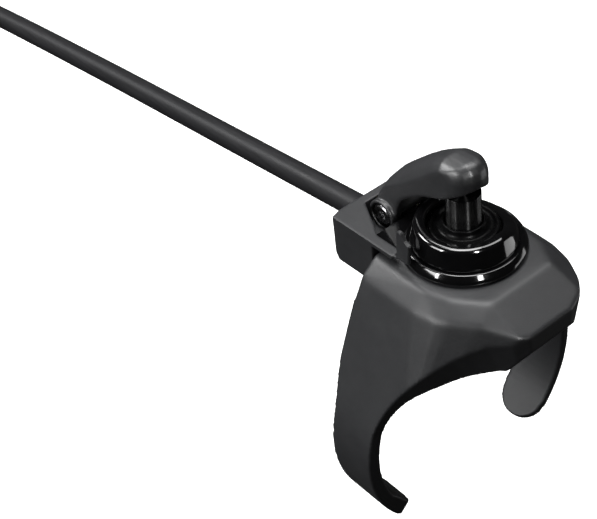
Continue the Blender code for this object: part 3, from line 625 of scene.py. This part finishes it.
def make_cable():
    """The lead as one curve, and the plug on its far end."""
    path = smooth_path(CABLE_ROUTE, CABLE_POINTS)
    curve = bpy.data.curves.new("lead", "CURVE")
    curve.dimensions = "3D"
    curve.bevel_depth = CABLE_R * MM
    curve.bevel_resolution = 10
    curve.use_fill_caps = True
    spline = curve.splines.new("POLY")
    spline.points.add(len(path) - 1)
    for point, place in zip(spline.points, path):
        point.co = (*(place * MM), 1.0)
    spline.use_smooth = True
    lead = bpy.data.objects.new("lead", curve)
    bpy.context.scene.collection.objects.link(lead)
    finish_piece(lead, "cable", "housing", "cable_jacket", "cable")
    plug = make_plug(path)


def make_grommet():
    """The ring that seals the lead where it enters the block."""
    outline = ((1.75, -14.25), (2.15, -14.25), (2.15, -13.4), (1.75, -13.4))
    bm = turned_mesh(rounded(outline, 0.12, 4), 96, "X", (0.0, -2.0, 22.35))
    finish_piece(add_mesh("grommet_fine", bm), "rubber", "housing", "soft_rubber", "cable_grommet")


# --- CAD nodes that keep their shape ------------------------------------------

def dress_nodes():
    """Materials for the nodes that no finer piece replaces."""
    looks = {
        "block_cover": "matte",
        "pivot_nut": "black_steel",
        "pivot_bush": "brass",
        "lever_spring": "bright_steel",
        "seal_ring": "rubber",
        "spring_seat": "gloss",
        "contact_dome": "bright_steel",
        "circuit_board": "board",
        "signal_wire": "red_wire",
        "ground_wire": "black_wire",
        "plug_seal": "rubber",
        "plug_contact": "brass",
    }
    for node, look in looks.items():
        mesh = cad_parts[node].data
        mesh.materials.clear()
        mesh.materials.append(MATERIALS[look])


# --- stage ------------------------------------------------------------------

def add_camera():
    """The camera at the photograph's viewing angle."""
    azimuth, elevation = math.radians(CAMERA_AZIMUTH), math.radians(CAMERA_ELEVATION)
    back = Vector((math.sin(azimuth) * math.cos(elevation), -math.cos(azimuth) * math.cos(elevation),
                   math.sin(elevation)))
    camera = bpy.data.objects.new("camera", bpy.data.cameras.new("camera"))
    camera.data.lens = CAMERA_LENS
    camera.data.sensor_width = 36.0
    camera.data.clip_start = 0.005
    camera.location = Vector(CAMERA_PLACE) * MM
    camera.rotation_mode = "QUATERNION"
    level = (-back).to_track_quat("-Z", "Y")
    camera.rotation_quaternion = level @ Quaternion((0.0, 0.0, 1.0), math.radians(CAMERA_ROLL))
    bpy.context.scene.collection.objects.link(camera)
    bpy.context.scene.camera = camera


def add_softbox(name, place, target, width, height, power):
    """A rectangular light that the camera doesn't see."""
    light = bpy.data.lights.new(name, "AREA")
    light.shape = "RECTANGLE"
    light.size = width * MM
    light.size_y = height * MM
    light.energy = power
    obj = bpy.data.objects.new(name, light)
    obj.location = Vector(place) * MM
    obj.rotation_mode = "QUATERNION"
    obj.rotation_quaternion = (Vector(target) - Vector(place)).to_track_quat("-Z", "Y")
    obj.visible_camera = False
    bpy.context.scene.collection.objects.link(obj)
    return obj


def add_floor():
    """A wide pale sheet well below the clip, which a handlebar would hold up.

    It glows faintly, and neither lights the object nor shows in its gloss.
    """
    bm = bmesh.new()
    bmesh.ops.create_circle(bm, cap_ends=True, radius=FLOOR_RADIUS, segments=64)
    bmesh.ops.translate(bm, verts=bm.verts, vec=(0.0, 0.0, FLOOR_Z))
    floor = add_mesh("floor", bm)
    material, shader = new_material("floor", 0.9, specular=0.1)
    blend_colours(material, shader, noise(material, 0.01, 2.0), (0.9, 0.9, 0.9), (0.93, 0.93, 0.93))
    shader.inputs["Emission Color"].default_value = (1.0, 1.0, 1.0, 1.0)
    shader.inputs["Emission Strength"].default_value = 0.4
    floor.data.materials.append(material)
    floor.visible_diffuse = False
    floor.visible_glossy = False


def add_world():
    """A faint white surround."""
    world = bpy.data.worlds.new("studio")
    world.use_nodes = True
    background = world.node_tree.nodes["Background"]
    background.inputs["Color"].default_value = (1.0, 1.0, 1.0, 1.0)
    background.inputs["Strength"].default_value = WORLD_STRENGTH
    bpy.context.scene.world = world


def add_lights():
    for light in SOFTBOXES:
        add_softbox(*light)
    for card in CARDS:
        add_softbox(*card).visible_diffuse = False


make_mouldings()
make_base()
make_ring()
make_boot()
make_post()
make_plunger_spring()
make_screws()
make_cable()
make_grommet()
dress_nodes()
add_camera()
add_floor()
add_world()
add_lights()
bpy.context.scene.view_settings.view_transform = "Standard"
